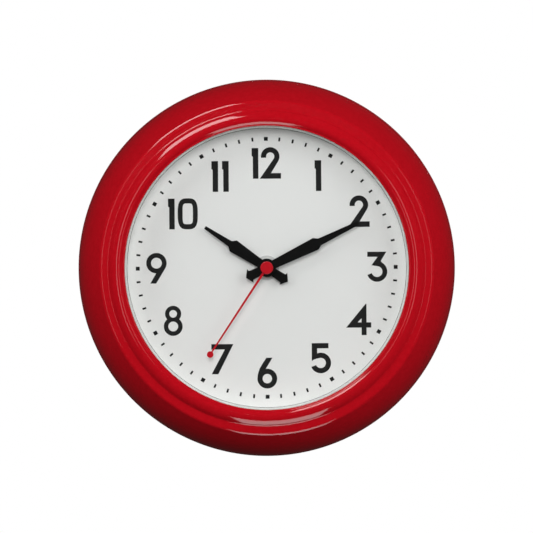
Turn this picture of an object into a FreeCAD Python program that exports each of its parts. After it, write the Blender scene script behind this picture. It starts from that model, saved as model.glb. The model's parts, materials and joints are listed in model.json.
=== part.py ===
import FreeCAD, Part
import math
import os
import re
import Sketcher

# Battery wall clock: a spun steel case with a raised bead round a flat glass, a metal dial, three
# hands and a quartz movement. Millimetres. +Z is up, +X is to the right of someone who faces the
# dial, and the dial faces -Y. The origin is where the hands' axis meets the wall. "Depth" below is
# the distance from the wall towards the viewer, so depth = -Y.

SIZES = {
    # case, in the plane of the dial
    "case_radius": 120,
    "bezel_width": 31.5,
    "lip_width": 1.0,
    "lip_drop": 1.7,
    "crest_width": 4.5,
    "bead_drop": 2.9,
    "ledge_width": 5.3,
    "skirt_inset": 4,
    "steel_thickness": 0.8,
    "flange_width": 7,
    # case, along its depth
    "lip_height": 3.4,
    "bend_height": 22,
    "foot_height": 3,
    # case roundings
    "lip_round": 0.5,
    "lip_hollow": 1.0,
    "crest_inner_round": 4.0,
    "crest_outer_round": 6.7,
    "bead_hollow": 1.5,
    "shoulder_round": 2.6,
    "skirt_trim": 14,
    "foot_round": 8,
    "edge_round": 1.2,
    # glass, its seal and the ring that holds it off the dial
    "lens_overlap": 7,
    "lens_thickness": 2,
    "lens_bevel": 0.4,
    "seal_thickness": 0.6,
    "spacer_height": 13,
    "spacer_wall": 2,
    "spacer_step": 1.8,
    "spacer_draft": 0.3,
    "spacer_round": 1,
    "ring_gap": 0.1,
    # dial and its fixing on the movement
    "dial_overlap": 5.5,
    "dial_thickness": 0.8,
    "cushion_radius": 12,
    "cushion_thickness": 0.8,
    "washer_radius": 7.75,
    "washer_thickness": 0.5,
    "nut_width": 9.8,
    "nut_height": 2.0,
    "sleeve_radius": 4.0,
    "sleeve_shoulder": 1.5,
    "sleeve_stand": 0.2,
    "sleeve_gap": 0.1,
    "sleeve_flange_height": 0.5,
    "sleeve_round": 0.3,
    # back cover, its screws and the lugs they go into
    "cover_recess": 2,
    "cover_thickness": 2,
    "cover_gap": 0.5,
    "rib_inset": 1,
    "rib_thickness": 3,
    "opening_gap": 0.7,
    "opening_round": 3.6,
    "keyhole_inset": 13.5,
    "keyhole_entry": 4.5,
    "keyhole_slot": 2.25,
    "keyhole_rise": 9,
    "keyhole_rim": 2,
    "keyhole_rim_height": 1.2,
    "screw_inset": 3.5,
    "screw_radius": 1.5,
    "screw_gap": 0.3,
    "screw_length": 5,
    "screw_head_radius": 2.8,
    "screw_head_height": 1.6,
    "screw_slot": 0.7,
    "screw_slot_depth": 0.8,
    "lug_count": 4,
    "lug_angle": 9,
    "lug_reach": 13,
    "lug_height": 4,
    "lug_thickness": 1.2,
    # movement case: it grows where its battery or its motor needs more room
    "movement_gap": 1.5,
    "movement_depth": 16.5,
    "movement_width": 56,
    "movement_round": 3,
    "movement_wall": 1.4,
    "movement_front_wall": 1.4,
    "movement_cover_thickness": 1.2,
    "movement_cover_round": 1.5,
    "divider_wall": 1.2,
    "post_radius": 1.2,
    "post_inset": 3.2,
    "post_top_inset": 2.8,
    "low_post_height": 1.8,
    # battery and its bay
    "battery_radius": 7.25,
    "battery_length": 50.5,
    "battery_gap": 0.35,
    "battery_back_gap": 0.25,
    "nub_radius": 2.75,
    "nub_length": 1.0,
    "contact_thickness": 0.3,
    "contact_width": 7,
    "contact_room": 1.35,
    "contact_reach": 11,
    "contact_relief": 1.2,
    # train plate
    "plate_rise": 10.4,
    "plate_thickness": 0.8,
    "plate_gap": 0.5,
    "pillar_radius": 1.2,
    # gears: the number of teeth of each, and the modules of the meshing pairs
    "rotor_teeth": 12,
    "step_wheel_teeth": 60,
    "step_pinion_teeth": 10,
    "second_wheel_teeth": 60,
    "second_pinion_teeth": 8,
    "third_wheel_teeth": 60,
    "third_pinion_teeth": 8,
    "centre_wheel_teeth": 64,
    "cannon_teeth": 12,
    "minute_wheel_teeth": 36,
    "minute_pinion_teeth": 10,
    "hour_wheel_teeth": 40,
    "setting_teeth": 18,
    "rotor_module": 0.25,
    "step_module": 0.3,
    "centre_module": 0.3,
    "cannon_module": 0.375,
    "tooth_tip": 0.85,
    "tooth_root": 1.15,
    "tooth_half_width": 0.6,
    "tooth_half_tip": 0.28,
    "tooth_bite": 0.2,
    "pinion_overlap": 0.3,
    "gear_thickness": 1.0,
    # gears: the directions from one axis to the next, anticlockwise from +X, in degrees
    "step_direction": 60,
    "rotor_direction": 20.2,
    "third_direction": 160,
    "minute_direction": -10,
    "setting_direction": 20,
    # gears: how far each wheel starts in front of the movement's back
    "step_rise": 3.1,
    "second_rise": 5.1,
    "third_rise": 6.9,
    "centre_rise": 8.9,
    "cannon_rise": 11.5,
    "hour_rise": 13.1,
    "train_gap": 0.345,
    # arbors and pipes
    "pivot_radius": 0.35,
    "pivot_length": 0.7,
    "arbor_radius": 0.6,
    "running_gap": 0.05,
    "second_arbor_radius": 0.5,
    "minute_pipe_radius": 1.6,
    "clutch_radius": 1.3,
    "clutch_hub_radius": 2.2,
    "clutch_hub_height": 0.3,
    "hour_pipe_radius": 2.55,
    "hour_pipe_stand": 2.1,
    "minute_pipe_stand": 4.3,
    "second_arbor_stand": 6.3,
    "setting_arbor_radius": 1.2,
    "knob_radius": 5,
    "knob_gap": 0.6,
    "knob_stand_off": 0.5,
    "knob_height": 2.4,
    "knob_notches": 24,
    "knob_notch_radius": 0.35,
    # step motor
    "magnet_radius": 3,
    "magnet_rise": 5.5,
    "magnet_height": 3,
    "magnet_hub_radius": 0.9,
    "stator_rise": 6.5,
    "stator_thickness": 1,
    "stator_gap": 0.5,
    "stator_left": -4,
    "stator_right": 25,
    "stator_leg": 3,
    "stator_low": 7,
    "stator_step": 8,
    "stator_bridge": 16.5,
    "stator_shelf": 13.5,
    "stator_top": 23.6,
    "stator_side_gap": 1.6,
    "stator_top_gap": 3,
    "core_low": 20.6,
    "bobbin_end_gap": 0.5,
    "bobbin_flange": 0.8,
    "bobbin_flange_radius": 3.4,
    "winding_radius": 3.1,
    "winding_core_radius": 2.2,
    "core_screw_radius": 0.6,
    "core_screw_head_radius": 1.2,
    "core_screw_head_height": 0.6,
    # circuit board
    "board_left": -24,
    "board_right": -8,
    "board_low": 14,
    "board_high": 23.6,
    "board_rise": 3.5,
    "board_thickness": 1,
    "board_round": 0.8,
    "board_pillar_inset": 1.8,
    "crystal_radius": 1,
    "crystal_length": 6,
    "crystal_inset": 2.4,
    "chip_radius": 2.2,
    "chip_height": 0.8,
    "chip_inset": 4.4,
    # hands: lengths from the axis, and reaches as shares of the case's inner radius
    "hand_thickness": 0.5,
    "hand_set_back": 0.3,
    "hour_angle": -56.4,
    "hour_share": 0.5243,
    "hour_neck": 27.6,
    "hour_shoulder": 25.1,
    "hour_tail": 12.1,
    "hour_tail_barb": 0.5,
    "hour_tail_end": 15.9,
    "hour_tip_half": 1.0,
    "hour_neck_half": 2.0,
    "hour_shoulder_half": 4.15,
    "hour_waist_half": 2.4,
    "hour_tail_half": 2.95,
    "hour_barb_half": 4.35,
    "hour_hub_radius": 4.6,
    "hour_boss_radius": 3.6,
    "hour_boss_height": 0.6,
    "minute_angle": 64.3,
    "minute_share": 0.7232,
    "minute_neck": 37.0,
    "minute_shoulder": 34.3,
    "minute_tail": 10.9,
    "minute_tail_barb": 0.6,
    "minute_tail_end": 14.5,
    "minute_tip_half": 1.25,
    "minute_neck_half": 2.3,
    "minute_shoulder_half": 4.05,
    "minute_waist_half": 2.5,
    "minute_tail_half": 3.1,
    "minute_barb_half": 4.7,
    "minute_hub_radius": 5.8,
    "minute_boss_radius": 2.8,
    "minute_boss_height": 0.6,
    "second_angle": 213.5,
    "second_share": 0.7333,
    "second_root_half": 0.75,
    "second_tip_half": 0.5,
    "second_disc_radius": 2.07,
    "second_hub_radius": 2.6,
    "second_thickness": 0.4,
    "cap_radius": 4.0,
    "cap_height": 1.3,
    "cap_round": 0.8,
}

# Radii and heights that follow from the sizes above.
LIP = "(case_radius - bezel_width)"
CREST_START = f"({LIP} + lip_width + lip_drop)"
CREST_END = f"({CREST_START} + crest_width)"
BEAD_FOOT = f"({CREST_END} + bead_drop)"
SHOULDER = f"({BEAD_FOOT} + ledge_width)"
SKIRT = "(case_radius - skirt_inset)"
LENS = f"({LIP} + lens_overlap)"
DIAL = f"({LIP} + dial_overlap)"
COVER = "(case_radius - flange_width - cover_gap)"
SCREW_CIRCLE = f"({COVER} - screw_inset)"
KEYHOLE = f"({LIP} - keyhole_inset)"

# Depths of the stack, from the wall to the crest of the bead.
COVER_FRONT = "(cover_recess + cover_thickness)"
MOVEMENT_BACK = "movement_gap"
MOVEMENT_COVER_FRONT = "(movement_gap + movement_cover_thickness)"
BATTERY_NEED = "battery_back_gap + 2 * battery_radius + battery_gap + movement_front_wall"
MOVEMENT_FRONT = f"(movement_gap + max(movement_depth; {BATTERY_NEED}))"
MOVEMENT_INSIDE = f"({MOVEMENT_FRONT} - movement_front_wall)"
DIAL_BACK = f"({MOVEMENT_FRONT} + cushion_thickness)"
DIAL_FRONT = f"({DIAL_BACK} + dial_thickness)"
WASHER_FRONT = f"({DIAL_FRONT} + washer_thickness)"
NUT_FRONT = f"({WASHER_FRONT} + nut_height)"
HOUR_PIPE_END = f"({NUT_FRONT} + hour_pipe_stand)"
MINUTE_PIPE_END = f"({NUT_FRONT} + minute_pipe_stand)"
SECOND_ARBOR_END = f"({NUT_FRONT} + second_arbor_stand)"
HOUR_HAND_FRONT = f"({HOUR_PIPE_END} - hand_set_back)"
MINUTE_HAND_FRONT = f"({MINUTE_PIPE_END} - hand_set_back)"
NEEDLE_FRONT = f"({SECOND_ARBOR_END} - hand_set_back)"
LENS_BACK = f"({DIAL_FRONT} + spacer_height)"
LENS_FRONT = f"({LENS_BACK} + lens_thickness)"
SEAL_FRONT = f"({LENS_FRONT} + seal_thickness)"
LIP_FRONT = f"({SEAL_FRONT} + lip_height)"
CREST = f"({LIP_FRONT} + lip_drop)"
LEDGE = f"({CREST} - bead_drop)"

# The skirt's bend takes the same length off both of its sides, whatever the angle between them.
SKIRT_LEAN = "atan(skirt_inset / (bend_height - foot_height))"
SKIRT_BEND = f"(atan(({SKIRT} - {SHOULDER}) / ({LEDGE} - bend_height)) - {SKIRT_LEAN})"
SKIRT_ROUND = f"(skirt_trim / tan({SKIRT_BEND} / 2))"

# The modules of the two pairs that share their axes with another pair.
THIRD_PAIR = "(third_wheel_teeth + second_pinion_teeth)"
THIRD_MODULE = f"(centre_module * (centre_wheel_teeth + third_pinion_teeth) / {THIRD_PAIR})"
HOUR_PAIR = "(hour_wheel_teeth + minute_pinion_teeth)"
HOUR_MODULE = f"(cannon_module * (cannon_teeth + minute_wheel_teeth) / {HOUR_PAIR})"

# The movement, seen from the front, about the hands' axis: its cavities, half-width and half-height.
TRAIN_LOW = "(-(centre_wheel_teeth / 2 + tooth_tip) * centre_module - train_gap)"
BAY_HIGH = f"({TRAIN_LOW} - divider_wall)"
BAY_NEED = f"2 * (battery_radius + battery_gap) - {BAY_HIGH} + movement_wall"
MOTOR_NEED = "stator_top + stator_top_gap + movement_wall"
HALF = f"max(movement_width / 2; {BAY_NEED}; {MOTOR_NEED})"
CONTACT_NEED = "battery_length / 2 + contact_room + movement_wall"
STATOR_NEED = "stator_right + stator_side_gap + movement_wall"
SIDE = f"max(movement_width / 2; {CONTACT_NEED}; {STATOR_NEED})"
INNER = f"({HALF} - movement_wall)"
INNER_SIDE = f"({SIDE} - movement_wall)"
BAY_LOW = f"(-{INNER})"
BATTERY_HEIGHT = f"({BAY_LOW} + battery_radius + battery_gap)"
BATTERY_DEPTH = f"({MOVEMENT_INSIDE} - battery_gap - battery_radius)"
BATTERY_HALF = "(battery_length / 2)"
POST_SIDE = f"({SIDE} - post_inset)"
POST_HIGH = f"({HALF} - post_top_inset)"
POST_LOW = f"({TRAIN_LOW} + low_post_height)"
CORE_MIDDLE = "((core_low + stator_top) / 2)"
BOBBIN_LEFT = "(stator_left + stator_leg + bobbin_end_gap)"
BOBBIN_RIGHT = "(stator_right - stator_leg - bobbin_end_gap)"
PIVOT_HOLE = "(pivot_radius + running_gap)"

# Depths inside the movement, from its back.
STEP_START = "(movement_gap + step_rise)"
SECOND_START = "(movement_gap + second_rise)"
THIRD_START = "(movement_gap + third_rise)"
CENTRE_START = "(movement_gap + centre_rise)"
CANNON_START = "(movement_gap + cannon_rise)"
HOUR_START = "(movement_gap + hour_rise)"
PLATE_START = "(movement_gap + plate_rise)"
PLATE_FRONT = f"({PLATE_START} + plate_thickness)"
MAGNET_START = "(movement_gap + magnet_rise)"
STATOR_START = "(movement_gap + stator_rise)"
STATOR_FRONT = f"({STATOR_START} + stator_thickness)"
CORE_START = f"({STATOR_START} - stator_thickness)"
CORE_DEPTH = f"({STATOR_START} - stator_thickness / 2)"
BOARD_START = "(movement_gap + board_rise)"

doc = FreeCAD.newDocument("WallClock")


def make_sheet():
    """Write every size into a spreadsheet, one named cell each."""
    sheet = doc.addObject("Spreadsheet::Sheet", "Sizes")
    for row, (name, number) in enumerate(SIZES.items(), start=1):
        sheet.set(f"A{row}", name)
        sheet.set(f"B{row}", str(number))
        sheet.setAlias(f"B{row}", name)
    doc.recompute()
    return sheet


SHEET = make_sheet()


def cell(word):
    """A size's name led by its sheet's, and any other word as it is."""
    return f"Sizes.{word[0]}" if word[0] in SIZES else word[0]


def sized(formula):
    """A formula as an expression."""
    return re.sub(r"[a-z_]+", cell, str(formula))


def value(formula):
    return float(SHEET.evalExpression(sized(formula)))


def bind(thing, property_name, formula):
    thing.setExpression(property_name, sized(formula))


def axis_at(distance, direction, x="0", z="0"):
    """The formulas for a point at a distance and a direction in degrees from another."""
    return f"({x} + {distance} * cos({direction}))", f"({z} + {distance} * sin({direction}))"


# ---- bodies, sketches and features ---------------------------------------------------------------


def new_body(label, x="0", z="0", turn="0"):
    """An empty body, placed at x and z and turned anticlockwise, seen from the front."""
    body = doc.addObject("PartDesign::Body", label)
    body.Label = label
    body.AllowCompound = True
    body.Placement = FreeCAD.Placement(FreeCAD.Vector(), FreeCAD.Rotation(FreeCAD.Vector(0, -1, 0), 1))
    bind(body, "Placement.Base.x", x)
    bind(body, "Placement.Base.z", z)
    bind(body, "Placement.Rotation.Angle", turn)
    return body


def origin_part(body, role):
    return next(part for part in body.Origin.OriginFeatures if part.Role == role)


def new_sketch(body, role, offset="0"):
    sketch = body.newObject("Sketcher::SketchObject", "Sketch")
    sketch.AttachmentSupport = [(origin_part(body, role), "")]
    sketch.MapMode = "FlatFace"
    bind(sketch, "AttachmentOffset.Base.z", offset)
    return sketch


def constrain(sketch, formula, *what):
    """Add a constraint whose size is a formula."""
    number = sketch.addConstraint(Sketcher.Constraint(*what, value(formula)))
    sketch.setExpression(f"Constraints[{number}]", sized(formula))


def pin_point(sketch, geometry, end, x, y):
    constrain(sketch, x, "DistanceX", -1, 1, geometry, end)
    constrain(sketch, y, "DistanceY", -1, 1, geometry, end)


def circle(radius, x="0", y="0"):
    """A drawing step: a circle about x and y."""

    def draw(sketch):
        centre = FreeCAD.Vector(value(x), value(y), 0)
        ring = sketch.addGeometry(Part.Circle(centre, FreeCAD.Vector(0, 0, 1), value(radius)))
        pin_point(sketch, ring, 3, x, y)
        constrain(sketch, radius, "Radius", ring)

    return draw


def trims(corners, radii):
    """How much each rounding takes off the two lines that meet at its corner."""
    lengths = []
    for i, corner in enumerate(corners):
        before = corner - corners[i - 1]
        after = corners[(i + 1) % len(corners)] - corner
        lengths.append(radii[i] * math.tan(before.getAngle(after) / 2))
    return lengths


def outline(*points):
    """A drawing step: a closed outline through points (x, y) or (x, y, rounding)."""

    def draw(sketch):
        corners = [FreeCAD.Vector(value(point[0]), value(point[1]), 0) for point in points]
        radii = [value(point[2]) if len(point) > 2 else 0 for point in points]
        cuts = trims(corners, radii)
        lines = draw_sides(sketch, corners, cuts)
        for i, point in enumerate(points):
            before, after = lines[i - 1], lines[i]
            if len(point) > 2:
                draw_round(sketch, before, after, corners[i], radii[i], point)
            else:
                sketch.addConstraint(Sketcher.Constraint("Coincident", before, 2, after, 1))
                pin_point(sketch, after, 1, point[0], point[1])

    return draw


def draw_sides(sketch, corners, cuts):
    lines = []
    for i, corner in enumerate(corners):
        following = (i + 1) % len(corners)
        along = (corners[following] - corner).normalize()
        start = corner + along * cuts[i]
        end = corners[following] - along * cuts[following]
        lines.append(sketch.addGeometry(Part.LineSegment(start, end)))
    return lines


def draw_round(sketch, before, after, corner, radius, point):
    """Join two sides with a tangent arc, and keep the corner they would meet at."""
    start = sketch.getPoint(before, 2)
    end = sketch.getPoint(after, 1)
    bisector = ((start - corner) + (end - corner)).normalize()
    half_angle = (start - corner).getAngle(bisector)
    middle = corner + bisector * (radius / math.sin(half_angle) - radius)
    arc = sketch.addGeometry(Part.Arc(start, middle, end))
    first = sketch.getPoint(arc, 1)
    arc_start = 1 if (first - start).Length < (first - end).Length else 2
    sketch.addConstraint(Sketcher.Constraint("Tangent", before, 2, arc, arc_start))
    sketch.addConstraint(Sketcher.Constraint("Tangent", arc, 3 - arc_start, after, 1))
    constrain(sketch, point[2], "Radius", arc)
    mark = sketch.addGeometry(Part.Point(corner), True)
    pin_point(sketch, mark, 1, point[0], point[1])
    sketch.addConstraint(Sketcher.Constraint("PointOnObject", mark, 1, before))
    sketch.addConstraint(Sketcher.Constraint("PointOnObject", mark, 1, after))


def rectangle(left, low, right, high, rounding=None):
    """A drawing step: an upright rectangle, with rounded corners if a rounding is given."""
    extra = () if rounding is None else (rounding,)
    corners = ((left, low), (right, low), (right, high), (left, high))
    return outline(*(corner + extra for corner in corners))


def pad(body, start, end, *drawings):
    """Add material between two depths, in the shape of the drawings."""
    sketch = new_sketch(body, "XZ_Plane", start)
    for draw in drawings:
        draw(sketch)
    feature = body.newObject("PartDesign::Pad", "Pad")
    feature.Profile = sketch
    bind(feature, "Length", f"({end}) - ({start})")
    return feature


def pocket(body, start, end, *drawings):
    """Cut material away between two depths, and make sure that something was cut."""
    doc.recompute()
    before = body.Shape.Volume
    sketch = new_sketch(body, "XZ_Plane", end)
    for draw in drawings:
        draw(sketch)
    feature = body.newObject("PartDesign::Pocket", "Pocket")
    feature.Profile = sketch
    bind(feature, "Length", f"({end}) - ({start})")
    doc.recompute()
    if body.Shape.Volume >= before:
        raise RuntimeError(f"{body.Label}: a pocket cut nothing")
    return feature


def revolve(body, points, angle="360"):
    """Turn a half-section about the body's axis: points are (radius, depth) or with a rounding."""
    sketch = new_sketch(body, "XY_Plane")
    outline(*((radius, f"-({depth})", *extra) for radius, depth, *extra in points))(sketch)
    feature = body.newObject("PartDesign::Revolution", "Turned")
    feature.Profile = sketch
    feature.ReferenceAxis = (sketch, ["V_Axis"])
    bind(feature, "Angle", angle)
    feature.Midplane = True
    return feature


def repeat(body, features, count):
    """Repeat features evenly about the body's axis."""
    pattern = body.newObject("PartDesign::PolarPattern", "Pattern")
    pattern.Originals = features
    pattern.Axis = (origin_part(body, "Y_Axis"), [""])
    pattern.Angle = 360
    bind(pattern, "Occurrences", count)
    body.Tip = pattern
    return pattern


def ring_edges(body, radius, depth):
    """The names of a body's circular edges of one radius about its axis at one depth."""
    doc.recompute()
    names = []
    for number, edge in enumerate(body.Shape.Edges, start=1):
        if not isinstance(edge.Curve, Part.Circle):
            continue
        right_radius = abs(edge.Curve.Radius - value(radius)) < 1e-4
        if right_radius and abs(edge.Curve.Center.y + value(depth)) < 1e-4:
            names.append(f"Edge{number}")
    return names


def chamfer(body, names, size):
    base = body.Tip
    feature = body.newObject("PartDesign::Chamfer", "Chamfer")
    feature.Base = (base, names)
    bind(feature, "Size", size)
    return feature


# ---- case ----------------------------------------------------------------------------------------


def wall_at(depth):
    """The inside radius of the case's skirt below its bend, at a depth."""
    slope = "skirt_inset / (bend_height - foot_height)"
    return f"(case_radius - steel_thickness - ({depth} - foot_height) * {slope})"


def make_case_shell():
    """Spun steel: hem, lip, bead, ledge, shoulder, skirt and the flange turned in at the wall."""
    flank = "tan(22.5) * steel_thickness"
    inside = "steel_thickness"
    outer = [
        (LIP, SEAL_FRONT),
        (LIP, LIP_FRONT, "lip_round"),
        (f"{LIP} + lip_width", LIP_FRONT, "lip_hollow"),
        (CREST_START, CREST, "crest_inner_round"),
        (CREST_END, CREST, "crest_outer_round"),
        (BEAD_FOOT, LEDGE, "bead_hollow"),
        (SHOULDER, LEDGE, "shoulder_round"),
        (SKIRT, "bend_height", SKIRT_ROUND),
        ("case_radius", "foot_height", "foot_round"),
        ("case_radius", "0", "edge_round"),
        ("case_radius - flange_width", "0"),
    ]
    inner = [
        ("case_radius - flange_width", inside),
        (f"case_radius - {inside}", inside, f"edge_round - {inside}"),
        (f"case_radius - {inside}", "foot_height", "foot_round"),
        (f"{SKIRT} - {inside}", "bend_height", SKIRT_ROUND),
        (f"{SHOULDER} - {inside} / 2", f"{LEDGE} - {inside}", f"shoulder_round - {inside}"),
        (f"{BEAD_FOOT} - {flank}", f"{LEDGE} - {inside}", f"bead_hollow + {inside}"),
        (f"{CREST_END} - {flank}", f"{CREST} - {inside}", f"crest_outer_round - {inside}"),
        (f"{CREST_START} + {flank}", f"{CREST} - {inside}", f"crest_inner_round - {inside}"),
        (f"{LIP} + lip_width + {flank}", f"{LIP_FRONT} - {inside}"),
        (f"{LIP} + {inside}", f"{LIP_FRONT} - {inside}"),
        (f"{LIP} + {inside}", SEAL_FRONT),
    ]
    revolve(new_body("case_shell"), outer + inner)


def make_case_lugs():
    """Angle brackets welded inside the skirt, with a threaded hole each for a cover screw."""
    body = new_body("case_lugs", turn="180 / lug_count")
    lug_top = f"({COVER_FRONT} + lug_height)"
    foot = [
        ("case_radius - lug_reach", COVER_FRONT),
        (wall_at(COVER_FRONT), COVER_FRONT),
        (wall_at(lug_top), lug_top),
        (f"{wall_at(lug_top)} - lug_thickness", lug_top),
        (f"{wall_at(COVER_FRONT)} - lug_thickness", f"{COVER_FRONT} + lug_thickness"),
        ("case_radius - lug_reach", f"{COVER_FRONT} + lug_thickness"),
    ]
    bracket = revolve(body, foot, "lug_angle")
    hole = pocket(body, COVER_FRONT, f"{COVER_FRONT} + lug_thickness", circle("screw_radius", SCREW_CIRCLE))
    repeat(body, [bracket, hole], "lug_count")


def make_back_cover():
    """Moulded cover inside the flange: dial rib, movement opening, hanging keyhole, screw holes."""
    body = new_body("back_cover")
    rib_outer = f"({DIAL} - rib_inset)"
    rib_inner = f"({rib_outer} - rib_thickness)"
    slot_top = f"({KEYHOLE} + keyhole_rise)"
    pad(body, "cover_recess", COVER_FRONT, circle(COVER))
    pad(body, COVER_FRONT, DIAL_BACK, circle(rib_outer), circle(rib_inner))
    rim = "keyhole_entry + keyhole_rim"
    rim_end = f"{COVER_FRONT} + keyhole_rim_height"
    pad(body, COVER_FRONT, rim_end, circle(rim, "0", KEYHOLE))
    pad(
        body,
        COVER_FRONT,
        rim_end,
        rectangle(
            "-keyhole_slot - keyhole_rim",
            KEYHOLE,
            "keyhole_slot + keyhole_rim",
            f"{slot_top} + keyhole_slot + keyhole_rim",
            "keyhole_slot",
        ),
    )
    side = f"({SIDE} + opening_gap)"
    half = f"({HALF} + opening_gap)"
    opening = rectangle(f"-{side}", f"-{half}", side, half, "opening_round")
    pocket(body, "cover_recess", COVER_FRONT, opening)
    pocket(body, "cover_recess", rim_end, circle("keyhole_entry", "0", KEYHOLE))
    slot = rectangle("-keyhole_slot", KEYHOLE, "keyhole_slot", slot_top)
    pocket(body, "cover_recess", rim_end, slot)
    pocket(body, "cover_recess", rim_end, circle("keyhole_slot", "0", slot_top))
    first_x, first_z = axis_at(SCREW_CIRCLE, "180 / lug_count")
    hole = pocket(body, "cover_recess", COVER_FRONT, circle("screw_radius + screw_gap", first_x, first_z))
    repeat(body, [hole], "lug_count")


def make_cover_screws():
    body = new_body("cover_screws", turn="180 / lug_count")
    head_back = "cover_recess - screw_head_height"
    head = pad(body, head_back, "cover_recess", circle("screw_head_radius", SCREW_CIRCLE))
    shank = pad(body, "cover_recess", "cover_recess + screw_length", circle("screw_radius", SCREW_CIRCLE))
    slot_left = f"{SCREW_CIRCLE} - screw_head_radius - screw_slot"
    slot_right = f"{SCREW_CIRCLE} + screw_head_radius + screw_slot"
    slot = rectangle(slot_left, "-screw_slot / 2", slot_right, "screw_slot / 2")
    cut = pocket(body, head_back, f"{head_back} + screw_slot_depth", slot)
    repeat(body, [head, shank, cut], "lug_count")


# ---- glass and dial ------------------------------------------------------------------------------


def make_lens():
    body = new_body("lens")
    pad(body, LENS_BACK, LENS_FRONT, circle(LENS))
    chamfer(body, ring_edges(body, LENS, LENS_FRONT) + ring_edges(body, LENS, LENS_BACK), "lens_bevel")


def make_lens_seal():
    body = new_body("lens_seal")
    pad(body, LENS_FRONT, SEAL_FRONT, circle(f"{LENS} - lens_bevel"), circle(LIP))


def make_spacer_ring():
    """White ring between dial and glass: its bore is the pale wall seen round the dial."""
    bore = f"({LIP} - spacer_draft)"
    collar = f"({LENS} + ring_gap)"
    section = [
        (bore, DIAL_FRONT),
        (LIP, LENS_BACK),
        (collar, LENS_BACK),
        (collar, LENS_FRONT),
        (f"{collar} + spacer_wall", LENS_FRONT),
        (f"{collar} + spacer_wall", f"{LENS_BACK} - spacer_step", "spacer_round"),
        (f"{LIP} + spacer_wall", f"{LENS_BACK} - spacer_step", "spacer_round"),
        (f"{LIP} + spacer_wall", DIAL_FRONT),
    ]
    revolve(new_body("spacer_ring"), section)


def make_washer_like(label, start, end, radius):
    """A flat ring on the movement's threaded sleeve."""
    pad(new_body(label), start, end, circle(radius), circle("sleeve_radius + sleeve_gap"))


def make_dial_nut():
    body = new_body("dial_nut")
    corner = "(nut_width / 2 / cos(30))"
    points = [axis_at(corner, str(60 * side)) for side in range(6)]
    pad(body, WASHER_FRONT, NUT_FRONT, outline(*points), circle("sleeve_radius"))


def make_mounting_sleeve():
    """Brass sleeve moulded into the movement's front wall: the hour pipe turns in its bore."""
    body = new_body("mounting_sleeve")
    bore = "hour_pipe_radius + running_gap"
    shoulder_back = f"({MOVEMENT_INSIDE} - sleeve_flange_height)"
    end = f"({NUT_FRONT} + sleeve_stand)"
    section = [
        (bore, shoulder_back),
        ("sleeve_radius + sleeve_shoulder", shoulder_back),
        ("sleeve_radius + sleeve_shoulder", MOVEMENT_INSIDE),
        ("sleeve_radius", MOVEMENT_INSIDE),
        ("sleeve_radius", end, "sleeve_round"),
        (bore, end),
    ]
    revolve(body, section)


# ---- movement case -------------------------------------------------------------------------------


def post_circles(radius):
    """The four corner posts that the train plate is clamped between."""
    spots = [(side, height) for side in (f"-{POST_SIDE}", POST_SIDE) for height in (POST_LOW, POST_HIGH)]
    return [circle(radius, x, z) for x, z in spots]


def wheel_axes():
    """The places of the axes beside the hands' axis, by name."""
    step = axis_at("step_module * (second_wheel_teeth + step_pinion_teeth) / 2", "step_direction")
    rotor = axis_at("rotor_module * (step_wheel_teeth + rotor_teeth) / 2", "rotor_direction", *step)
    third = axis_at(f"{THIRD_MODULE} * {THIRD_PAIR} / 2", "third_direction")
    minute = axis_at("cannon_module * (cannon_teeth + minute_wheel_teeth) / 2", "minute_direction")
    setting_distance = "cannon_module * (setting_teeth + minute_wheel_teeth) / 2"
    setting = axis_at(setting_distance, "setting_direction", *minute)
    return {"step": step, "rotor": rotor, "third": third, "minute": minute, "setting": setting}


AXES = wheel_axes()


def make_movement_housing():
    """Front half of the movement's case: train cavity, battery bay, posts and pivot holes."""
    body = new_body("movement_housing")
    block = rectangle(f"-{SIDE}", f"-{HALF}", SIDE, HALF, "movement_round")
    pad(body, MOVEMENT_COVER_FRONT, MOVEMENT_FRONT, block)
    inner_round = "movement_round - movement_wall"
    cavity = rectangle(f"-{INNER_SIDE}", TRAIN_LOW, INNER_SIDE, INNER, inner_round)
    pocket(body, MOVEMENT_COVER_FRONT, MOVEMENT_INSIDE, cavity)
    bay = rectangle(f"-{INNER_SIDE}", BAY_LOW, INNER_SIDE, BAY_HIGH, inner_round)
    pocket(body, MOVEMENT_COVER_FRONT, MOVEMENT_INSIDE, bay)
    pad(body, PLATE_FRONT, MOVEMENT_INSIDE, *post_circles("post_radius"))
    pocket(body, MOVEMENT_INSIDE, MOVEMENT_FRONT, circle("sleeve_radius"))
    pivots = [circle(PIVOT_HOLE, *AXES[name]) for name in ("minute", "setting")]
    pocket(body, MOVEMENT_INSIDE, f"{MOVEMENT_INSIDE} + pivot_length + running_gap", *pivots)


def make_movement_cover():
    """Rear cover of the train cavity: posts, pivot holes and the hole of the setting knob."""
    body = new_body("movement_cover")
    sheet = rectangle(f"-{SIDE}", BAY_HIGH, SIDE, HALF, "movement_cover_round")
    pad(body, MOVEMENT_BACK, MOVEMENT_COVER_FRONT, sheet)
    pad(body, MOVEMENT_COVER_FRONT, PLATE_START, *post_circles("post_radius"))
    pocket(body, MOVEMENT_BACK, MOVEMENT_COVER_FRONT, circle("knob_radius + knob_gap", *AXES["setting"]))
    holes = [circle(PIVOT_HOLE, *AXES[name]) for name in ("step", "rotor", "third")]
    holes.append(circle(PIVOT_HOLE))
    hole_depth = f"{MOVEMENT_COVER_FRONT} - pivot_length - running_gap"
    pocket(body, hole_depth, MOVEMENT_COVER_FRONT, *holes)


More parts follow.
